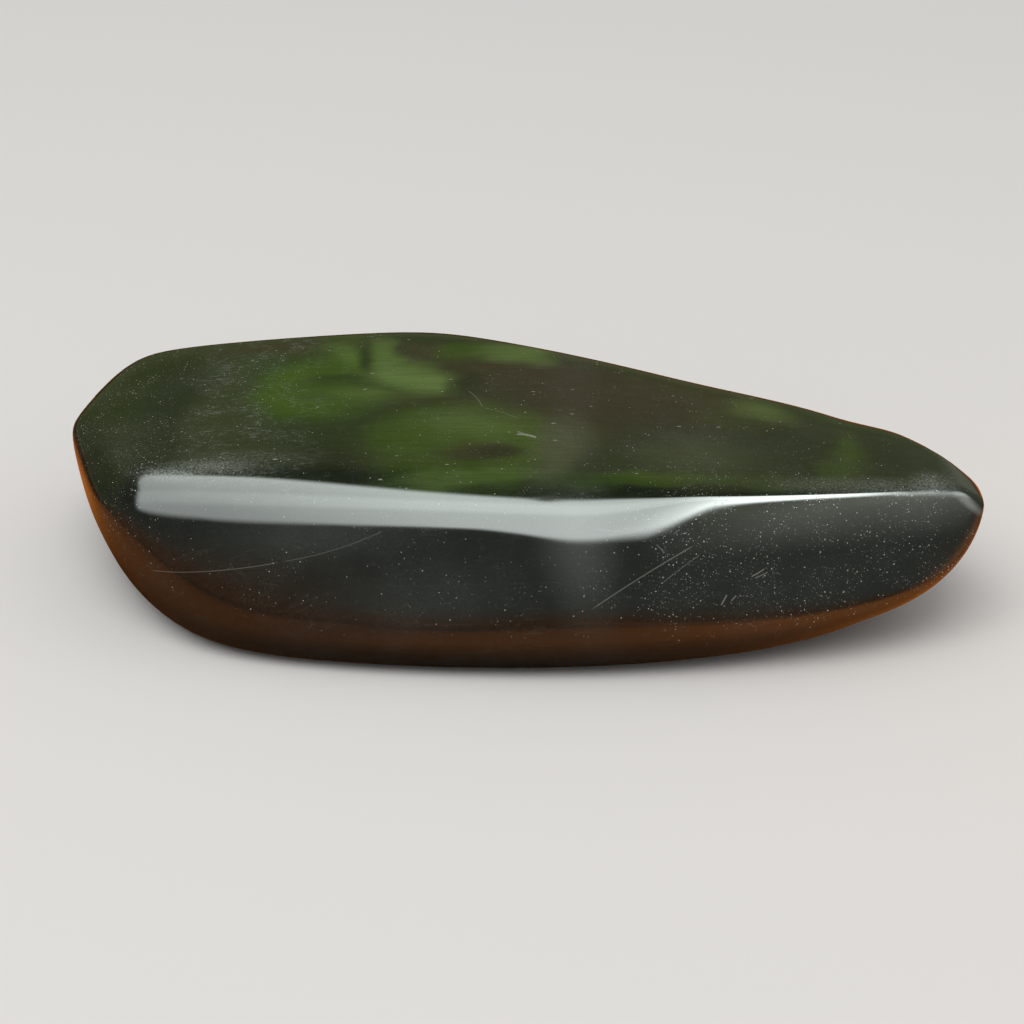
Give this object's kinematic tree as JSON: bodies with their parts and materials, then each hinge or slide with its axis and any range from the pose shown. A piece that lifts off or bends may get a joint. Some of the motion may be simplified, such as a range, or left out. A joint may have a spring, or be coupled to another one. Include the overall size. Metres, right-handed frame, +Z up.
{
  "type": "polished jet freeform",
  "caption": "Hand-sized freeform of polished black jet: level table, leaning front belly, crisp oblique left end, rising narrow nose and a flat to rest on.",
  "frame": {"origin": "centre of the bounding box's bottom, on the surface that the stone rests on", "axes": "+X along the length towards the narrow nose, +Y towards the back, +Z up"},
  "size_m": [0.113, 0.061, 0.0214],
  "materials": {
    "jet": "high polish on near-black jet, with fine scratches and dust specks"
  },
  "bodies": {
    "root": {"stone": "jet"}
  },
  "joints": []
}
